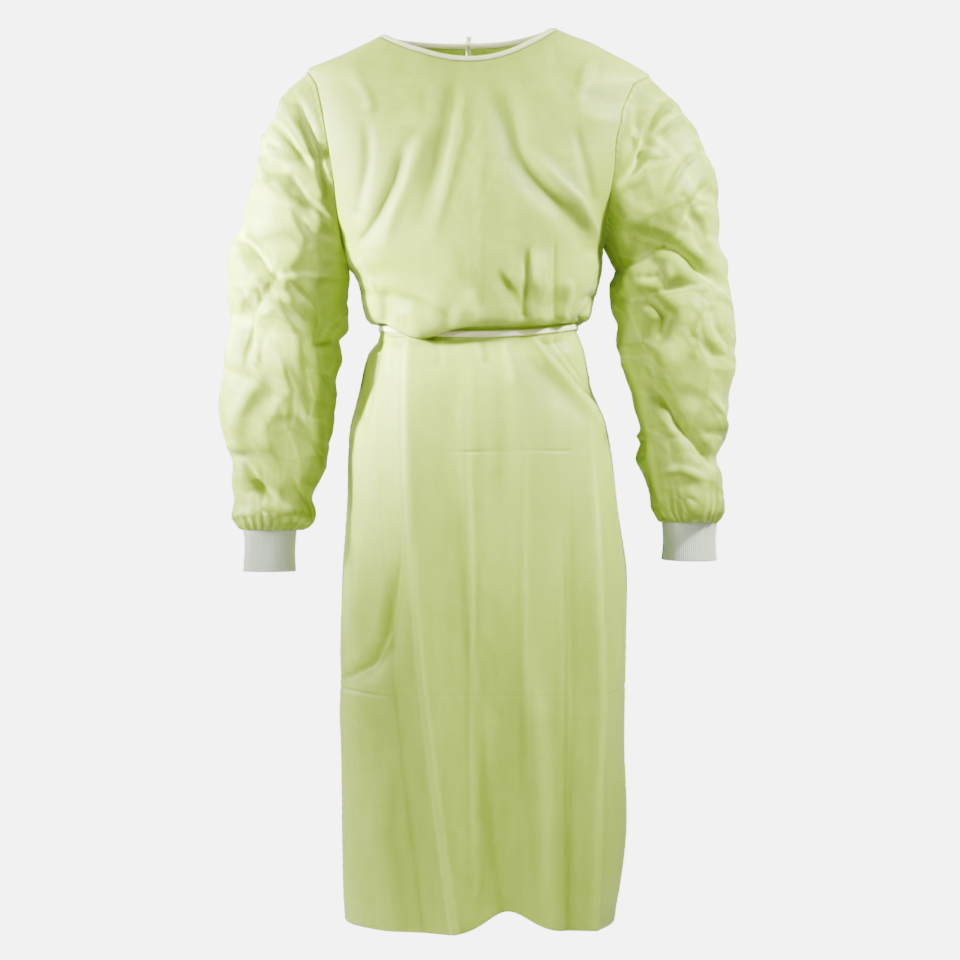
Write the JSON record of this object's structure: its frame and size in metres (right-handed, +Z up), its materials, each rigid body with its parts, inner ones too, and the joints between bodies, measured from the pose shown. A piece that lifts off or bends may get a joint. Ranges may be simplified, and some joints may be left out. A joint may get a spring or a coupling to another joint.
{
  "type": "disposable isolation gown",
  "caption": "Long-sleeved disposable isolation gown of thin yellow nonwoven, bloused over a narrow waist tape, with rib-knit cuffs and an open lapped back.",
  "frame": {"origin": "middle of the shoulder line between the two neck points, where a wearer holds the gown up", "axes": "+Z up, -Y out of the gown's front, +X towards the wearer's left"},
  "size_m": [0.677, 0.3131, 1.1851],
  "materials": {
    "yellow_nonwoven": "thin spun-bonded nonwoven, matte with a papery sheen",
    "white_rib_knit": "off-white rib knit, matte",
    "white_tape": "white nonwoven tape, matte"
  },
  "bodies": {
    "root": {"front": "yellow_nonwoven", "back_right": "yellow_nonwoven", "back_left": "yellow_nonwoven", "sleeve_right": "yellow_nonwoven", "sleeve_left": "yellow_nonwoven", "cuff_right": "white_rib_knit", "cuff_left": "white_rib_knit", "neck_binding": "white_tape", "neck_tie": "white_tape", "waist_tie": "white_tape", "waist_knot": "white_tape"}
  },
  "joints": []
}
